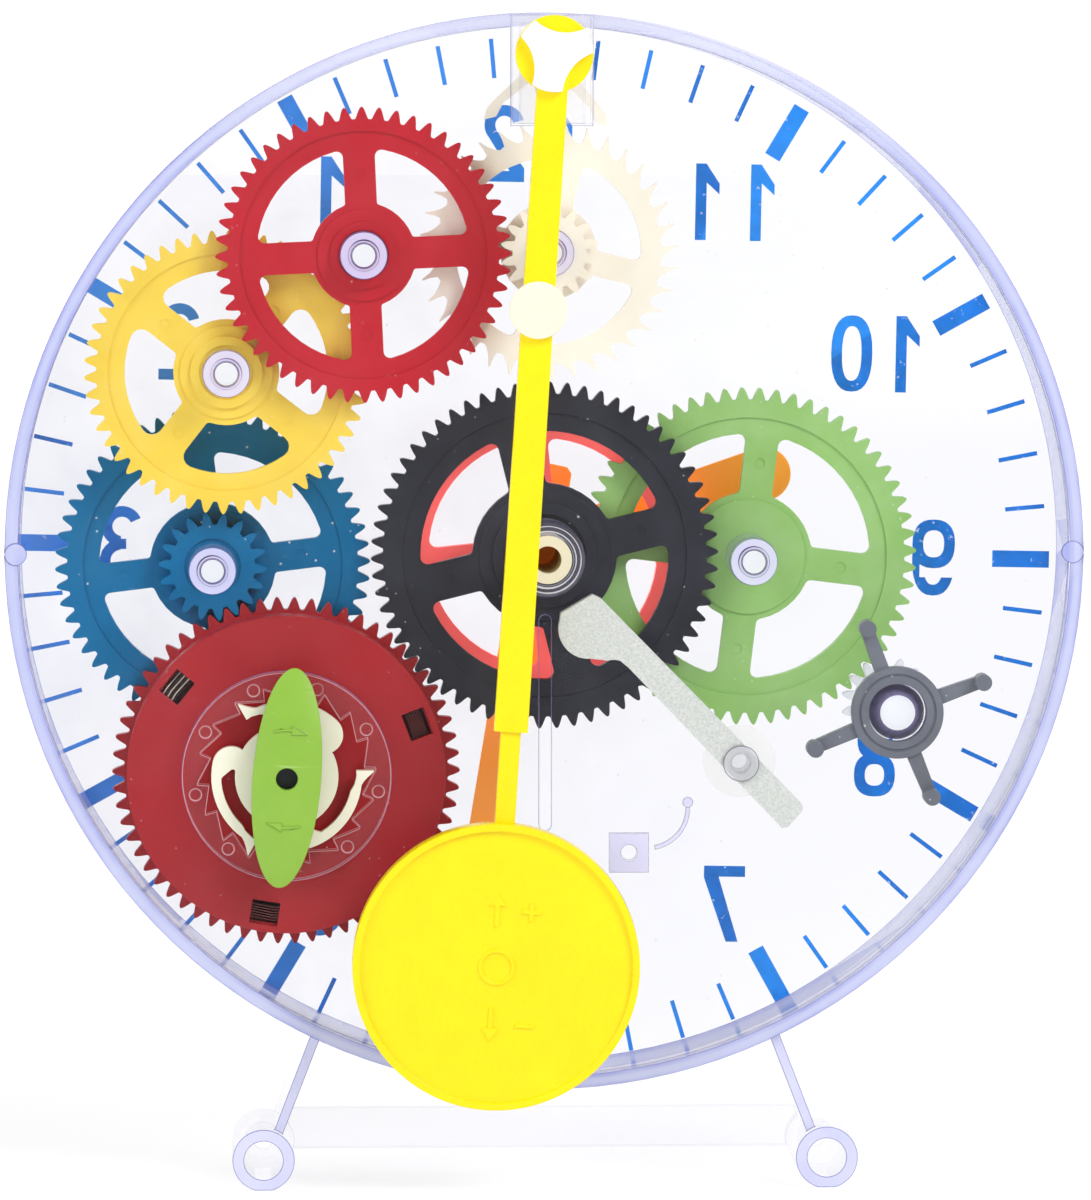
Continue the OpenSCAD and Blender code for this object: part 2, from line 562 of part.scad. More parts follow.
module lower_rod() color([1, 0.94, 0.1]) place() pend() translate([-1.85, -165.7, 31.65]) cube([3.7, 80, 1.9]);
module pendulum_bob() color([1, 0.94, 0.05]) place() pend() translate([0, -pend_len, 0]) difference() {
  union() {
    disc(bob_r, 31.2, 36.4);
    pipe(bob_r, bob_r - 1.3, 36.3, w_back);
    // embossed ring and generic adjusting signs
    pipe(3.3, 2.7, 36.3, 36.75);
    slab(36.3, 36.75) union() {
      translate([-0.9, 7.4]) square([0.8, 5.4]);
      polygon([[-2.1, 11.2], [-0.5, 13.6], [1.1, 11.2]]);
      translate([4, 10]) square([3.4, 0.8]);
      translate([5.3, 8.7]) square([0.8, 3.4]);
      translate([-0.9, -12.8]) square([0.8, 5.4]);
      polygon([[-2.1, -11.2], [-0.5, -13.6], [1.1, -11.2]]);
      translate([4, -10.8]) square([3.4, 0.8]);
    }
  }
  disc(bob_r - 1.6, 30, 33.55);
  translate([-1.95, 10, 30]) cube([3.9, 30, 3.55]);
}
module bob_weight() color([0.6, 0.61, 0.63]) place() pend() translate([0.7, -pend_len, 0]) disc(25.6, 29.5, 31.2);

dial_plate();
dial_markings();
case_rim();
back_plate();
ratchet_ring();
suspension_bracket();
stand_leg_left();
stand_leg_right();
stand_crossbar();
axle_pins();
lever_pin();
lever_washer();
barrel_gear();
barrel_cover();
mainspring();
winding_arbor();
click_wheel();
winding_knob();
second_wheel();
third_wheel();
fourth_wheel();
escape_wheel();
centre_wheel();
minute_arbor();
minute_hand();
hand_cap();
reduction_wheel();
hour_wheel();
hour_hand();
setting_pinion();
setting_knob();
stop_lever();
anchor();
anchor_arbor();
pendulum_rod();
pendulum_cap();
rod_button();
lower_rod();
pendulum_bob();
bob_weight();
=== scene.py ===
import bpy, bmesh, math, random
from mathutils import Vector, Matrix


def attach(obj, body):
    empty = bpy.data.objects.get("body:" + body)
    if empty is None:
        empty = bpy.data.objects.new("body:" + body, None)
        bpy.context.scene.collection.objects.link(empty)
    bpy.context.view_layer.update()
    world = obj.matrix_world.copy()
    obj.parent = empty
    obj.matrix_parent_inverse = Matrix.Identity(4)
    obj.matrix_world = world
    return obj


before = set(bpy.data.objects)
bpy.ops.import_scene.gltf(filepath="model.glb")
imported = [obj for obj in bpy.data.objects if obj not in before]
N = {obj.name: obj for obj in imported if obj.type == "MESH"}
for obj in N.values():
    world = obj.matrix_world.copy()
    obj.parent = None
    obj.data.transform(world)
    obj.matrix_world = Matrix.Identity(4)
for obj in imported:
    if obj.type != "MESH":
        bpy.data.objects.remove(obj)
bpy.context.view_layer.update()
scene = bpy.context.scene

# ------------------------------------------------------------------
# camera: at the photograph's height and distance, aimed at its middle
# ------------------------------------------------------------------
cam_data = bpy.data.cameras.new("camera")
cam = bpy.data.objects.new("camera", cam_data)
scene.collection.objects.link(cam)
cam_data.sensor_fit = "AUTO"
cam_data.sensor_width = 36.0
cam_data.lens = 36.0 * 7634.3 / 1200
cam_data.clip_start = 0.05
cam_data.clip_end = 60
cam.location = (0.0574, 1.3987, 0.2041)
aim = Vector((-0.0002, 0.0045, 0.1079))
cam.rotation_euler = (aim - cam.location).to_track_quat("-Z", "Y").to_euler()
scene.camera = cam

scene.view_settings.view_transform = "Standard"
scene.view_settings.look = "None"
scene.view_settings.exposure = 0.0
scene.view_settings.gamma = 1.0
scene.cycles.max_bounces = 12
scene.cycles.transparent_max_bounces = 48
scene.cycles.diffuse_bounces = 5
scene.cycles.glossy_bounces = 4
scene.cycles.sample_clamp_indirect = 4.0
scene.cycles.use_denoising = True


# rear-view coordinates (u right, v up, w towards the viewer, mm) to the part's frame in metres
def P(u, v, w):
    return Vector((-u / 1000, (w - 14.4) / 1000, (v + 116.8) / 1000))


# ------------------------------------------------------------------
# materials
# ------------------------------------------------------------------
def lin(c):
    out = []
    for x in c:
        x = x / 255
        out.append(x / 12.92 if x <= 0.04045 else ((x + 0.055) / 1.055) ** 2.4)
    return (*out, 1.0)


class Tree:
    """A material's node tree with short calls to add and link nodes."""

    def __init__(self, name):
        self.mat = bpy.data.materials.new(name)
        self.mat.use_nodes = True
        self.t = self.mat.node_tree
        self.t.nodes.clear()
        self.out = self.add("ShaderNodeOutputMaterial")

    def add(self, kind, **kw):
        n = self.t.nodes.new(kind)
        for k, v in kw.items():
            setattr(n, k, v)
        return n

    def link(self, a, b):
        self.t.links.new(a, b)

    def put(self, socket, value):
        if isinstance(value, bpy.types.NodeSocket):
            self.link(value, socket)
        elif value is not None:
            socket.default_value = value

    def coords(self):
        if not hasattr(self, "_c"):
            self._c = self.add("ShaderNodeTexCoord")
        return self._c.outputs["Object"]

    def math(self, op, a, b=None, c=None, clamp=False):
        n = self.add("ShaderNodeMath", operation=op, use_clamp=clamp)
        for s, v in zip(n.inputs, (a, b, c)):
            self.put(s, v)
        return n.outputs[0]

    def vmath(self, op, a, b=None, scale=None):
        n = self.add("ShaderNodeVectorMath", operation=op)
        self.put(n.inputs[0], a)
        if b is not None:
            self.put(n.inputs[1], b)
        if scale is not None:
            self.put(n.inputs["Scale"], scale)
        return n

    def ramp(self, v, a, b, lo=0.0, hi=1.0, smooth=False):
        n = self.add("ShaderNodeMapRange", clamp=True)
        if smooth:
            n.interpolation_type = "SMOOTHSTEP"
        for s, x in zip((n.inputs[0], n.inputs[1], n.inputs[2], n.inputs[3], n.inputs[4]), (v, a, b, lo, hi)):
            self.put(s, x)
        return n.outputs[0]

    def noise(self, scale, detail=2.0, rough=0.5, vec=None, out="Fac"):
        n = self.add("ShaderNodeTexNoise")
        self.put(n.inputs["Vector"], vec or self.coords())
        n.inputs["Scale"].default_value = scale
        n.inputs["Detail"].default_value = detail
        n.inputs["Roughness"].default_value = rough
        return n.outputs[out]

    def voronoi(self, scale, feature="F1", out="Distance", vec=None, rnd=1.0):
        n = self.add("ShaderNodeTexVoronoi", feature=feature)
        self.put(n.inputs["Vector"], vec or self.coords())
        n.inputs["Scale"].default_value = scale
        n.inputs["Randomness"].default_value = rnd
        self._v = n
        return n.outputs[out]

    def mix(self, fac, a, b, mode="MIX"):
        n = self.add("ShaderNodeMix", data_type="RGBA", blend_type=mode)
        self.put(n.inputs[0], fac)
        self.put(n.inputs[6], a)
        self.put(n.inputs[7], b)
        return n.outputs[2]

    def bump(self, height, dist, strength=1.0, normal=None):
        n = self.add("ShaderNodeBump")
        n.inputs["Strength"].default_value = strength
        n.inputs["Distance"].default_value = dist
        self.link(height, n.inputs["Height"])
        if normal is not None:
            self.link(normal, n.inputs["Normal"])
        return n.outputs[0]

    def specks(self, scale, size, share):
        """Small separate dots: 1 inside a dot. share is how many cells have one."""
        d = self.voronoi(scale)
        col = self._v.outputs["Color"]
        sep = self.add("ShaderNodeSeparateColor")
        self.link(col, sep.inputs[0])
        inside = self.math("LESS_THAN", d, self.math("MULTIPLY", sep.outputs[1], size))
        some = self.math("GREATER_THAN", sep.outputs[0], 1 - share)
        return self.math("MULTIPLY", inside, some)

    def done(self, shader):
        self.link(shader, self.out.inputs["Surface"])
        return self.mat


def plastic(name, rgb, rough=0.34, vary=0.08, speck=0.3, haze=None, clear=0.0, tint=(255, 255, 255), sheen_noise=0.1,
            grain=0.000012, spec=0.5, glow=0.0):
    """Injection-moulded plastic: slow colour drift, flow marks, fine specks and a faint grain in the gloss. glow adds
    painted light: an emission in the base colour, as though the part were lit through from behind.
    """
    t = Tree(name)
    base = lin(rgb)
    drift = t.ramp(t.noise(38, 3, 0.55), 0.3, 0.7, 1 - vary, 1 + vary * 0.6)
    cloud = t.ramp(t.noise(210, 4, 0.6), 0.3, 0.75, 0.97, 1.03)
    k = t.math("MULTIPLY", drift, cloud)
    sc = t.add("ShaderNodeVectorMath", operation="SCALE")
    sc.inputs[0].default_value = base[:3]
    t.link(k, sc.inputs["Scale"])
    col = sc.outputs[0]
    dots = t.specks(620, 0.16, 0.30)
    col = t.mix(t.math("MULTIPLY", dots, speck), col, (0.92, 0.92, 0.95, 1))
    if haze is not None:
        col = t.mix(t.ramp(t.noise(70, 5, 0.6), 0.42, 0.72, 0.0, haze[1]), col, lin(haze[0]))
    p = t.add("ShaderNodeBsdfPrincipled")
    t.link(col, p.inputs["Base Color"])
    t.link(t.ramp(t.noise(900, 3, 0.6), 0.25, 0.75, rough - sheen_noise * 0.5, rough + sheen_noise), p.inputs["Roughness"])
    p.inputs["IOR"].default_value = 1.5
    p.inputs["Specular IOR Level"].default_value = spec
    # painted light: the part emits its own colour and glows though it is no lamp
    if glow:
        p.inputs["Emission Color"].default_value = base
        p.inputs["Emission Strength"].default_value = glow
    h = t.math("ADD", t.noise(2600, 2, 0.6), t.math("MULTIPLY", t.noise(320, 2, 0.5), 1.5))
    t.link(t.bump(h, grain, 0.6), p.inputs["Normal"])
    if not clear:
        return t.done(p.outputs[0])
    tr = t.add("ShaderNodeBsdfTransparent")
    tr.inputs[0].default_value = lin(tint)
    m = t.add("ShaderNodeMixShader")
    m.inputs[0].default_value = 1 - clear
    t.link(tr.outputs[0], m.inputs[1])
    t.link(p.outputs[0], m.inputs[2])
    return t.done(m.outputs[0])


def clear_plastic(name, tint=(253, 253, 254), end_rgb=(200, 201, 240), end_alpha=0.8, end_from=None, wall_rgb=(176, 180, 226),
                  wall_alpha=0.05, graze=0.5, power=3.0, edge_rgb=(150, 152, 210), edge_alpha=0.6, haze=(0.01, 0.004),
                  haze_rgb=(222, 226, 242), core=None, dust=0.12, shine=0.35, far_edge=1.0, painted_top_glare=None, thin=None):
    """Clear styrene, with light painted into its colour. Light that travels along a deep wall leaves by its narrow end,
    so ends are painted glowing lavender; flat faces stay nearly invisible; walls darken towards grazing angles; edges,
    the bevel facets, are painted in the edge colour as a line of painted shade. end_from: ends only where the part's Y
    (mm, row frame) is above this.
    haze: how much of haze_rgb is laid over the faces, the first value at X = +70 mm, the second at X = -60 mm. core:
    (radius, half width, colour) of a paler line in a round end. painted_top_glare: painted highlight, ends and edges
    paler towards the top."""
    t = Tree(name)
    geo = t.add("ShaderNodeNewGeometry")
    sep = t.add("ShaderNodeSeparateXYZ")
    t.link(geo.outputs["True Normal"], sep.inputs[0])
    pos = t.add("ShaderNodeSeparateXYZ")
    t.link(t.coords(), pos.inputs[0])
    ny = t.math("ABSOLUTE", sep.outputs[1])
    flat = t.math("GREATER_THAN", ny, 0.96)
    wall = t.math("LESS_THAN", ny, 0.2)
    edge = t.math("SUBTRACT", t.math("SUBTRACT", 1.0, flat), wall)
    end = flat
    if end_from is not None:
        near = t.math("GREATER_THAN", pos.outputs[1], end_from / 1000)
        end = t.math("MULTIPLY", flat, near)
        edge = t.math("MULTIPLY", edge, t.ramp(near, 0, 1, far_edge, 1.0))
    lw = t.add("ShaderNodeLayerWeight")
    lw.inputs[0].default_value = 0.5
    g = t.math("POWER", lw.outputs["Facing"], power)
    cloud = t.noise(60, 3, 0.6)
    # haze colour laid over the faces, more at one side of the clock than the other
    side = t.ramp(pos.outputs[0], 0.07, -0.06, haze[0], haze[1])
    a = t.math("MULTIPLY", end, end_alpha)
    a = t.math("ADD", a, t.math("MULTIPLY", edge, edge_alpha))
    if thin:
        dx = t.math("SUBTRACT", pos.outputs[0], thin[0] / 1000)
        dz = t.math("SUBTRACT", pos.outputs[2], thin[1] / 1000)
        r = t.math("SQRT", t.math("ADD", t.math("MULTIPLY", dx, dx), t.math("MULTIPLY", dz, dz)))
        a = t.math("MULTIPLY", a, t.ramp(t.math("GREATER_THAN", r, thin[2] / 1000), 0, 1, 0.12, 1.0))
    # painted highlight: ends and edges grow paler towards the top, washed pale as if by bright light there
    if painted_top_glare:
        a = t.math("MULTIPLY", a, t.ramp(pos.outputs[2], painted_top_glare[0] / 1000, painted_top_glare[1] / 1000, 1.0, painted_top_glare[2], smooth=True))
    a = t.math("ADD", a, t.math("MULTIPLY", wall, t.math("ADD", wall_alpha, t.math("MULTIPLY", g, graze))))
    a = t.math("ADD", a, t.math("MULTIPLY", side, t.ramp(cloud, 0.3, 0.75, 0.5, 1.5)))
    a = t.math("ADD", a, t.math("MULTIPLY", t.specks(420, 0.10, 0.16), dust), clamp=True)
    endc = t.mix(t.ramp(cloud, 0.35, 0.7, 0.0, 0.3), lin(end_rgb), (0.93, 0.93, 0.98, 1))
    if core:
        dz = t.math("SUBTRACT", pos.outputs[2], 0.1168)
        r = t.math("SQRT", t.math("ADD", t.math("MULTIPLY", pos.outputs[0], pos.outputs[0]), t.math("MULTIPLY", dz, dz)))
        d = t.math("ABSOLUTE", t.math("SUBTRACT", r, core[0] / 1000))
        endc = t.mix(t.ramp(d, core[1] / 1000, core[1] / 2500, 0.0, 0.85), endc, lin(core[2]))
    col = t.mix(wall, lin(haze_rgb), lin(wall_rgb))
    # painted shade: the bevel facets take the edge colour, a line of painted shade where that colour is dark
    col = t.mix(edge, col, lin(edge_rgb))
    # painted light: the narrow ends take the lavender end colour as the glow of light carried along the wall
    col = t.mix(end, col, endc)
    p = t.add("ShaderNodeBsdfPrincipled")
    t.link(col, p.inputs["Base Color"])
    p.inputs["Roughness"].default_value = 0.14
    p.inputs["IOR"].default_value = 1.45
    p.inputs["Specular IOR Level"].default_value = shine
    t.link(t.bump(t.noise(90, 2, 0.5), 0.00003, 0.5), p.inputs["Normal"])
    tr = t.add("ShaderNodeBsdfTransparent")
    tr.inputs[0].default_value = lin(tint)
    m = t.add("ShaderNodeMixShader")
    t.link(a, m.inputs[0])
    t.link(tr.outputs[0], m.inputs[1])
    t.link(p.outputs[0], m.inputs[2])
    return t.done(m.outputs[0])


def ink(name, rgb):
    """Screen-printed ink: slightly uneven cover, pinholes and broken edges."""
    t = Tree(name)
    worn = t.math("GREATER_THAN", t.noise(620, 4, 0.72), 0.345)
    pin = t.math("SUBTRACT", 1.0, t.specks(900, 0.22, 0.25))
    cover = t.math("MULTIPLY", worn, pin)
    k = t.ramp(t.noise(240, 3, 0.6), 0.3, 0.7, 0.86, 1.12)
    sc = t.add("ShaderNodeVectorMath", operation="SCALE")
    sc.inputs[0].default_value = lin(rgb)[:3]
    t.link(k, sc.inputs["Scale"])
    p = t.add("ShaderNodeBsdfPrincipled")
    t.link(sc.outputs[0], p.inputs["Base Color"])
    p.inputs["Roughness"].default_value = 0.45
    tr = t.add("ShaderNodeBsdfTransparent")
    m = t.add("ShaderNodeMixShader")
    t.link(t.ramp(cover, 0, 1, 0.35, 1.0), m.inputs[0])
    t.link(tr.outputs[0], m.inputs[1])
    t.link(p.outputs[0], m.inputs[2])
    return t.done(m.outputs[0])


def silver(name):
    """Silver-grey casting with a fine sparkling orange-peel grain."""
    t = Tree(name)
    g = t.noise(2300, 3, 0.65)
    g2 = t.noise(900, 3, 0.6)
    col = t.mix(t.ramp(g, 0.35, 0.68), lin((198, 201, 199)), lin((228, 230, 226)))
    col = t.mix(t.ramp(g2, 0.35, 0.7, 0.0, 0.35), col, lin((200, 212, 204)))
    p = t.add("ShaderNodeBsdfPrincipled")
    t.link(col, p.inputs["Base Color"])
    p.inputs["Metallic"].default_value = 0.35
    t.link(t.ramp(g, 0.3, 0.7, 0.32, 0.5), p.inputs["Roughness"])
    t.link(t.bump(g, 0.00007, 0.7), p.inputs["Normal"])
    return t.done(p.outputs[0])


def metal(name, rgb, rough=0.3):
    t = Tree(name)
    col = t.mix(t.ramp(t.noise(400, 4, 0.6), 0.3, 0.7), lin(rgb), lin([min(255, c * 1.12) for c in rgb]))
    p = t.add("ShaderNodeBsdfPrincipled")
    t.link(col, p.inputs["Base Color"])
    p.inputs["Metallic"].default_value = 1.0
    t.link(t.ramp(t.noise(1500, 3, 0.6), 0.3, 0.7, rough - 0.08, rough + 0.1), p.inputs["Roughness"])
    t.link(t.bump(t.noise(1800, 2, 0.5), 0.00001, 0.5), p.inputs["Normal"])
    return t.done(p.outputs[0])


LEG_END = 2.0

def wound_spring(name, c, glint_toward, pitch):
    """Blued spring steel in grease, dark brown. On one side only, the coils catch the light as painted highlights: pale
    stripes over brown painted darker as shade.
    """
    t = Tree(name)
    pos = t.add("ShaderNodeSeparateXYZ")
    t.link(t.coords(), pos.inputs[0])
    dx = t.math("SUBTRACT", pos.outputs[0], c[0] / 1000)
    dz = t.math("SUBTRACT", pos.outputs[2], c[1] / 1000)
    r = t.math("SQRT", t.math("ADD", t.math("MULTIPLY", dx, dx), t.math("MULTIPLY", dz, dz)))
    ax, az = math.cos(math.radians(glint_toward)), math.sin(math.radians(glint_toward))
    side = t.math("DIVIDE", t.math("ADD", t.math("MULTIPLY", dx, -ax), t.math("MULTIPLY", dz, az)), r)
    # painted light: a mask for the side of the spring that faces the given angle
    painted_glint_side = t.ramp(side, 0.955, 0.985)
    coil = t.math("FRACT", t.math("MULTIPLY", r, 1000 / pitch))
    # painted highlight: pale stripes along the coils on that side
    line = t.math("MULTIPLY", t.math("GREATER_THAN", coil, 0.55), painted_glint_side)
    brown = t.mix(t.ramp(t.noise(300, 3, 0.6), 0.3, 0.7), lin((96, 30, 22)), lin((132, 52, 40)))
    # painted shade: the brown darkened on that side, between the stripes
    brown = t.mix(painted_glint_side, brown, lin((60, 14, 16)))
    p = t.add("ShaderNodeBsdfPrincipled")
    t.link(t.mix(line, brown, lin((244, 236, 216))), p.inputs["Base Color"])
    p.inputs["Roughness"].default_value = 0.35
    p.inputs["Specular IOR Level"].default_value = 0.4
    return t.done(p.outputs[0])


M = {
    "plate": clear_plastic("clear_plate", tint=(252, 252, 254), end_from=-14.0, end_rgb=(206, 204, 240), end_alpha=0.5,
                           wall_alpha=0.05, haze=(0.09, 0.012), haze_rgb=(200, 206, 226)),
    "back": clear_plastic("clear_back", tint=(254, 254, 254), end_from=8.68, end_rgb=(208, 205, 243), end_alpha=0.8,
                          wall_rgb=(190, 190, 226), wall_alpha=0.06, edge_rgb=(120, 116, 170), edge_alpha=0.55, haze=(0.008, 0.003),
                          thin=(-0.37, 115.66, 7.2)),
    "rim": clear_plastic("clear_rim", end_rgb=(160, 166, 224), end_alpha=0.86, wall_rgb=(188, 194, 232), wall_alpha=0.035,
                         graze=0.7, power=5.0, edge_rgb=(104, 110, 190), edge_alpha=0.75, core=(97.35, 0.85, (192, 197, 232)), painted_top_glare=(176, 214, 0.42)),
    "leg": clear_plastic("clear_leg", end_from=LEG_END, far_edge=0.06, end_rgb=(196, 198, 238), end_alpha=0.85, wall_rgb=(214, 216, 234), wall_alpha=0.012,
                         graze=0.16, power=3.0, edge_rgb=(120, 124, 192), edge_alpha=0.8),
    "ring": clear_plastic("clear_ring", end_rgb=(238, 196, 206), end_alpha=0.02, wall_rgb=(236, 190, 198), wall_alpha=0.05,
                          graze=0.1, edge_rgb=(240, 196, 204), edge_alpha=0.5, haze=(0.004, 0.004), dust=0.05),
    "pin": clear_plastic("clear_pin", end_rgb=(232, 235, 240), end_alpha=0.8, wall_rgb=(200, 200, 226), wall_alpha=0.16,
                         edge_rgb=(120, 112, 150), edge_alpha=0.8),
    "lever_pin": clear_plastic("clear_lever_pin", end_rgb=(214, 216, 220), end_alpha=0.4, wall_rgb=(190, 190, 200), wall_alpha=0.16,
                               edge_rgb=(120, 120, 136), edge_alpha=0.9),
    "bracket": clear_plastic("clear_bracket", end_rgb=(246, 247, 252), end_alpha=0.14, wall_rgb=(216, 218, 238), wall_alpha=0.03,
                             graze=0.25, edge_rgb=(150, 152, 186), edge_alpha=0.25),
    "bar": clear_plastic("clear_bar", end_rgb=(246, 246, 253), end_alpha=0.06, wall_rgb=(222, 222, 240), wall_alpha=0.04, graze=0.2,
                         edge_rgb=(226, 226, 240), edge_alpha=0.16),
    "washer": plastic("milky_washer", (240, 238, 226), rough=0.4, vary=0.03, speck=0.1, clear=0.88),
    "ink": ink("blue_ink", (0, 146, 246)),
    "red": plastic("red_moulding", (186, 22, 38), haze=((206, 70, 80), 0.15), spec=0.3),
    "barrel": plastic("barrel_red", (162, 24, 32), haze=((176, 60, 60), 0.2), rough=0.4, spec=0.3),
    "yellow": plastic("yellow_moulding", (246, 212, 74), rough=0.33, speck=0.2, clear=0.05, haze=((250, 232, 140), 0.3), spec=0.3),
    "blue": plastic("blue_moulding", (0, 106, 158), haze=((30, 126, 168), 0.25), speck=0.6, spec=0.22),
    "black": plastic("black_moulding", (36, 37, 46), haze=((74, 76, 88), 0.35), speck=0.5, spec=0.3),
    "green": plastic("green_moulding", (148, 196, 110), clear=0.14, tint=(232, 246, 218), speck=0.25, haze=((184, 220, 160), 0.4), spec=0.3),
    "lime": plastic("lime_moulding", (140, 186, 62), rough=0.38, vary=0.05, speck=0.08),
    # painted light: coral, orange and the orange cap glow by emission, standing in for light passing through them
    "coral": plastic("coral_moulding", (255, 104, 102), speck=0.15, spec=0.3, glow=0.5),
    "orange": plastic("orange_moulding", (255, 160, 40), speck=0.15, spec=0.3, glow=0.4),
    "cap": plastic("orange_cap", (240, 128, 44), speck=0.0, spec=0.3, glow=0.1),
    "cream": plastic("cream_moulding", (255, 250, 238), rough=0.36, vary=0.03, speck=0.1, clear=0.2, tint=(252, 248, 242)),
    "ivory": plastic("ivory_moulding", (240, 236, 218), rough=0.36, vary=0.04, speck=0.1),
    "tube": plastic("ivory_tube", (238, 232, 206), rough=0.3, vary=0.04, speck=0.1),
    "white": plastic("milk_white", (250, 249, 236), rough=0.32, vary=0.02, speck=0.0),
    "button": plastic("button_cream", (252, 248, 214), rough=0.32, vary=0.02, speck=0.0),
    "grey": plastic("dark_grey_moulding", (104, 108, 118), rough=0.38, haze=((140, 144, 156), 0.35), speck=0.4, spec=0.35),
    "bob": plastic("pendulum_yellow", (255, 230, 4), rough=0.27, vary=0.03, speck=0.0, grain=0.000006, spec=0.35),
    "silver": silver("silver_casting"),
    "spring": wound_spring("spring_steel", (47.31, 76.03), 138.7, 1.05),
    "steel": metal("bright_steel", (176, 178, 184), 0.3),
}

USE = {
    "dial_plate": "plate", "dial_markings": "ink", "case_rim": "rim", "back_plate": "back", "ratchet_ring": "ring",
    "suspension_bracket": "bracket", "stand_leg_left": "leg", "stand_leg_right": "leg", "stand_crossbar": "bar",
    "axle_pins": "pin", "lever_pin": "lever_pin", "lever_washer": "washer",
    "barrel_gear": "barrel", "barrel_cover": "barrel", "mainspring": "spring", "winding_arbor": "black",
    "click_wheel": "ivory", "winding_knob": "lime", "second_wheel": "blue", "third_wheel": "yellow", "fourth_wheel": "red",
    "escape_wheel": "cream", "centre_wheel": "black", "minute_arbor": "tube", "minute_hand": "orange", "hand_cap": "cap",
    "reduction_wheel": "green", "hour_wheel": "coral", "hour_hand": "orange", "setting_pinion": "pin", "setting_knob": "grey",
    "stop_lever": "silver", "anchor": "cream", "anchor_arbor": "steel", "pendulum_rod": "bob", "pendulum_cap": "white",
    "rod_button": "button", "lower_rod": "bob", "pendulum_bob": "bob", "bob_weight": "steel",
}
for name, key in USE.items():
    o = N[name]
    o.data.materials.clear()
    o.data.materials.append(M[key])


# soft edges: join the split vertices and flat facets, then a small true bevel
def soften(name, width, angle=30, segments=2, clamp=False):
    o = N[name]
    w = o.modifiers.new("weld", "WELD")
    w.merge_threshold = 2e-6
    d = o.modifiers.new("flat", "DECIMATE")
    d.decimate_type = "DISSOLVE"
    d.angle_limit = math.radians(0.4)
    b = o.modifiers.new("bevel", "BEVEL")
    b.width = width / 1000
    b.segments = segments
    b.limit_method = "ANGLE"
    b.angle_limit = math.radians(angle)
    b.use_clamp_overlap = clamp
    b.harden_normals = True
    b.miter_outer = "MITER_ARC" if segments > 1 else "MITER_SHARP"


BEVEL = {
    "winding_knob": 0.14, "setting_knob": 0.12, "lower_rod": 0.3, "pendulum_bob": 0.12,
    "rod_button": 0.3, "pendulum_cap": 0.15, "click_wheel": 0.06, "lever_pin": 0.15, "lever_washer": 0.15,
    "barrel_cover": 0.15, "minute_hand": 0.2, "hour_hand": 0.2, "hand_cap": 0.3,
}
for name, w in BEVEL.items():
    soften(name, w)
for name in ("barrel_gear", "second_wheel", "third_wheel", "fourth_wheel", "escape_wheel", "centre_wheel", "reduction_wheel", "hour_wheel",
             "pendulum_rod", "stop_lever"):
    soften(name, 0.15, clamp=True)
for name, w in (("case_rim", 0.11), ("stand_leg_left", 0.16), ("stand_leg_right", 0.16), ("ratchet_ring", 0.12), ("back_plate", 0.1),
                ("stand_crossbar", 0.2), ("axle_pins", 0.12)):
    soften(name, w, segments=1)
for name in ("suspension_bracket", "setting_pinion"):
    soften(name, 0.12, segments=1, clamp=True)


# ------------------------------------------------------------------
# fine lines at moulded steps that the CAD leaves out, drawn as painted light: rings of painted shade at the pivot
# bosses and of painted highlight round the centre
# ------------------------------------------------------------------
# a part see-through line colour for the rings of painted shade and painted highlight
def painted_line_material(name, rgb, alpha):
    t = Tree(name)
    p = t.add("ShaderNodeBsdfPrincipled")
    t.link(t.mix(t.ramp(t.noise(500, 3, 0.6), 0.3, 0.7), lin(rgb), lin([min(255, c + 24) for c in rgb])), p.inputs["Base Color"])
    p.inputs["Roughness"].default_value = 0.3
    tr = t.add("ShaderNodeBsdfTransparent")
    m = t.add("ShaderNodeMixShader")
    m.inputs[0].default_value = alpha
    t.link(tr.outputs[0], m.inputs[1])
    t.link(p.outputs[0], m.inputs[2])
    return t.done(m.outputs[0])


PAINTED_LINE = {"dark": painted_line_material("dark_painted_shade_step", (62, 50, 92), 0.85), "violet": painted_line_material("violet_painted_shade_step", (132, 112, 160), 0.7),
        "grey": painted_line_material("grey_painted_highlight_step", (158, 158, 172), 0.6), "pale": painted_line_material("pale_painted_highlight_step", (214, 216, 226), 0.7)}


def add_mesh(name, bm, mat, body):
    mesh = bpy.data.meshes.new(name)
    bmesh.ops.recalc_face_normals(bm, faces=bm.faces)
    bm.to_mesh(mesh)
    bm.free()
    mesh.materials.append(mat)
    o = bpy.data.objects.new(name, mesh)
    scene.collection.objects.link(o)
    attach(o, body)
    return o


def step_ring(bm, c, w0, w1, r, t_min, t_max, heavy, n=72):
    """A round step seen from behind, drawn as a thin closed ring of painted light whose breadth swells towards one
    side.
    """
    loops = []
    for w in (w0, w1):
        for sgn in (-1, 1):
            row = []
            for i in range(n):
                a = 2 * math.pi * i / n
                br = t_min + (t_max - t_min) * max(0.0, math.cos(a - math.radians(heavy))) ** 1.5
                rr = r + sgn * br / 2
                row.append(bm.verts.new(P(c[0] + rr * math.cos(a), c[1] + rr * math.sin(a), w)))
            loops.append(row)
    order = (0, 1, 3, 2)
    for k in range(4):
        a, b = loops[order[k]], loops[order[(k + 1) % 4]]
        for i in range(n):
            j = (i + 1) % n
            bm.faces.new((a[i], a[j], b[j], b[i]))


def off(p, d, a):
    return (p[0] + d * math.cos(math.radians(a)), p[1] + d * math.sin(math.radians(a)))


C = (0.37, -1.14)
PB = off(C, 62, 219.74)
P2 = off(PB, 40, 109.6)
P3 = off(P2, 36, 85.85)
P4 = off(P3, 33, 40.63)
PE = off(P4, 34, 0.8)
PR = off(C, 37.75, -0.85)
PS = off(PR, 37.75, -46.43)

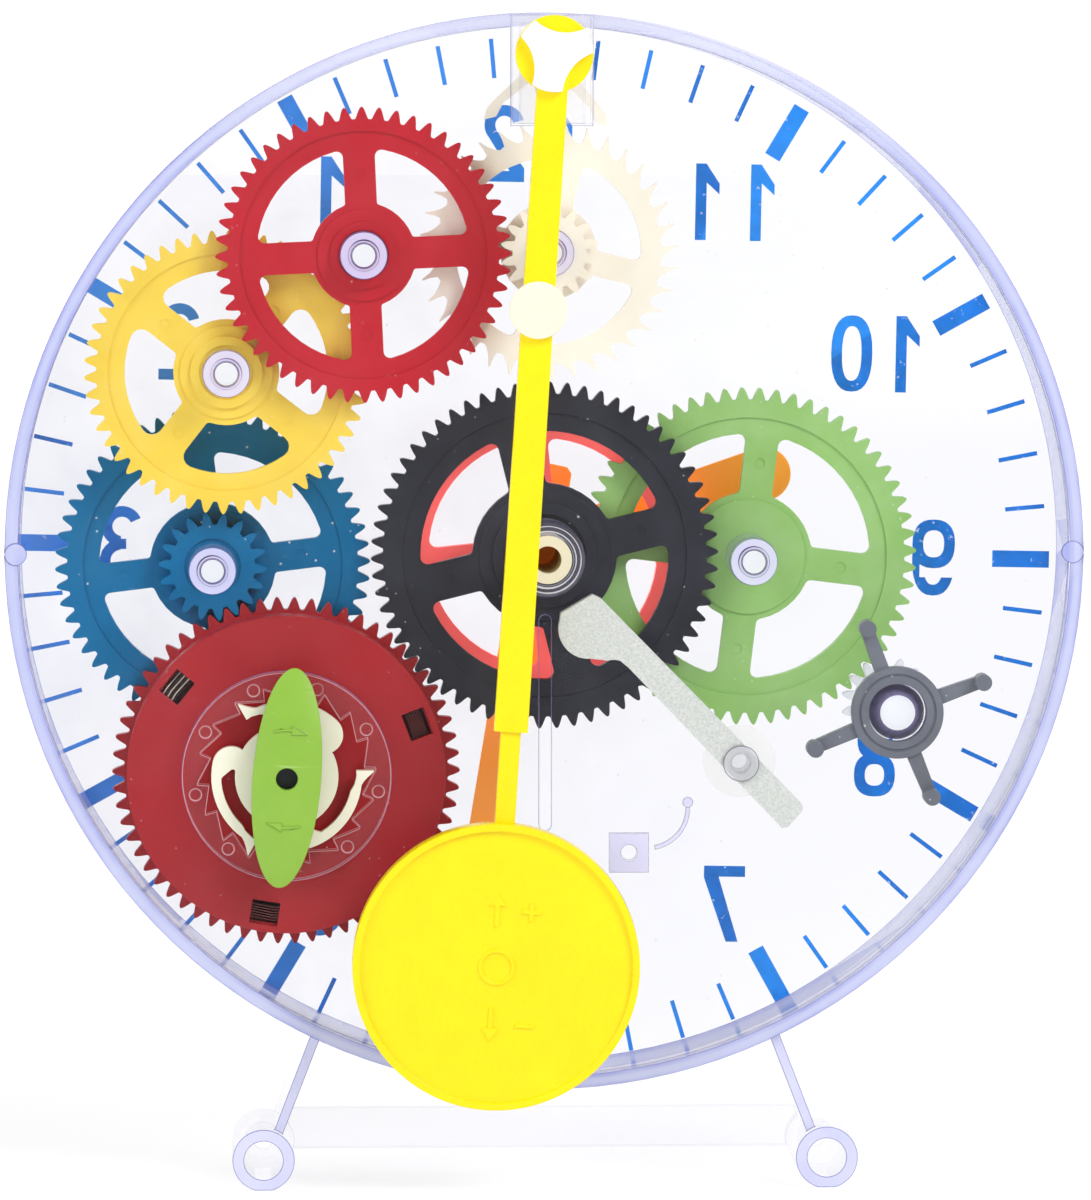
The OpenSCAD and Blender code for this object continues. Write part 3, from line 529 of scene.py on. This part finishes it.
# painted shade: dark and violet rings at the pivot bosses and pins, broadest on one side
for i, (c, heavy, mat) in enumerate(((P4, 80, "dark"), (P3, 60, "violet"), (P2, 120, "dark"), (PE, 20, "violet"), (PR, 130, "dark"))):
    bm = bmesh.new()
    step_ring(bm, c, 24.41, 24.44, 2.83, 0.06, 0.26, heavy)
    add_mesh("boss_painted_shade_step_%d" % i, bm, PAINTED_LINE[mat], "frame")
    bm = bmesh.new()
    step_ring(bm, c, 24.41, 24.44, 2.4, 0.09, 0.16, heavy + 190)
    add_mesh("pin_painted_shade_step_%d" % i, bm, PAINTED_LINE["violet"], "frame")

# painted highlight: pale and grey rings round the centre boss
for k, (r, b, mat) in enumerate(((6.1, 0.16, "pale"), (5.2, 0.22, "pale"), (4.75, 0.14, "grey"))):
    bm = bmesh.new()
    step_ring(bm, C, 25.01, 25.04, r, b, b * 1.7, 300 - 60 * k)
    add_mesh("centre_painted_highlight_step_%d" % k, bm, PAINTED_LINE[mat], "frame")

# ------------------------------------------------------------------
# stage and light
# ------------------------------------------------------------------
def floor():
    t = Tree("pale_floor")
    p = t.add("ShaderNodeBsdfPrincipled")
    t.link(t.mix(t.ramp(t.noise(1.3, 2, 0.5), 0.3, 0.7), (0.80, 0.80, 0.81, 1), (0.83, 0.83, 0.835, 1)), p.inputs["Base Color"])
    p.inputs["Roughness"].default_value = 0.7
    p.inputs["Specular IOR Level"].default_value = 0.1
    em = t.add("ShaderNodeEmission")
    em.inputs[0].default_value = (1, 1, 1, 1)
    pos = t.add("ShaderNodeSeparateXYZ")
    t.link(t.coords(), pos.inputs[0])
    t.link(t.ramp(pos.outputs[1], -0.3, -4.0, 1.2, 1.64, smooth=True), em.inputs[1])
    m = t.add("ShaderNodeMixShader")
    m.inputs[0].default_value = 0.5
    t.link(em.outputs[0], m.inputs[1])
    t.link(p.outputs[0], m.inputs[2])
    mesh = bpy.data.meshes.new("floor")
    s = 14
    mesh.from_pydata([(-s, -s, 0), (s, -s, 0), (s, s, 0), (-s, s, 0)], [], [(0, 1, 2, 3)])
    mesh.materials.append(t.done(m.outputs[0]))
    o = bpy.data.objects.new("floor", mesh)
    scene.collection.objects.link(o)


floor()

# white sweep behind the clock, calmer room on the side it is seen from
world = bpy.data.worlds.new("studio")
scene.world = world
world.use_nodes = True
wt = world.node_tree
wt.nodes.clear()
w_tc = wt.nodes.new("ShaderNodeTexCoord")
w_sep = wt.nodes.new("ShaderNodeSeparateXYZ")
w_map = wt.nodes.new("ShaderNodeMapRange")
w_bg = wt.nodes.new("ShaderNodeBackground")
w_out = wt.nodes.new("ShaderNodeOutputWorld")
wt.links.new(w_tc.outputs["Generated"], w_sep.inputs[0])
wt.links.new(w_sep.outputs[1], w_map.inputs[0])
for i, v in ((1, -0.25), (2, 0.35), (3, 0.85), (4, 0.34)):
    w_map.inputs[i].default_value = v
w_far = wt.nodes.new("ShaderNodeMapRange")
wt.links.new(w_sep.outputs[1], w_far.inputs[0])
for i, v in ((1, -0.985), (2, -0.93), (3, 0.3), (4, 0.0)):
    w_far.inputs[i].default_value = v
w_sum = wt.nodes.new("ShaderNodeMath")
wt.links.new(w_map.outputs[0], w_sum.inputs[0])
wt.links.new(w_far.outputs[0], w_sum.inputs[1])
w_bg.inputs[0].default_value = (1, 1, 1, 1)
wt.links.new(w_sum.outputs[0], w_bg.inputs[1])
wt.links.new(w_bg.outputs[0], w_out.inputs[0])


def area(name, loc, target, size, power):
    d = bpy.data.lights.new(name, "AREA")
    d.energy = power
    d.size = size
    o = bpy.data.objects.new(name, d)
    scene.collection.objects.link(o)
    o.location = loc
    o.rotation_euler = (Vector(target) - Vector(loc)).to_track_quat("-Z", "Y").to_euler()
    return o


area("key", (-1.2, 1.3, 1.5), (0, 0, 0.11), 0.9, 30)
area("fill", (1.5, 1.0, 0.9), (0, 0, 0.11), 1.2, 16)
area("front", (0.6, -1.6, 1.3), (0, 0, 0.11), 1.2, 8)
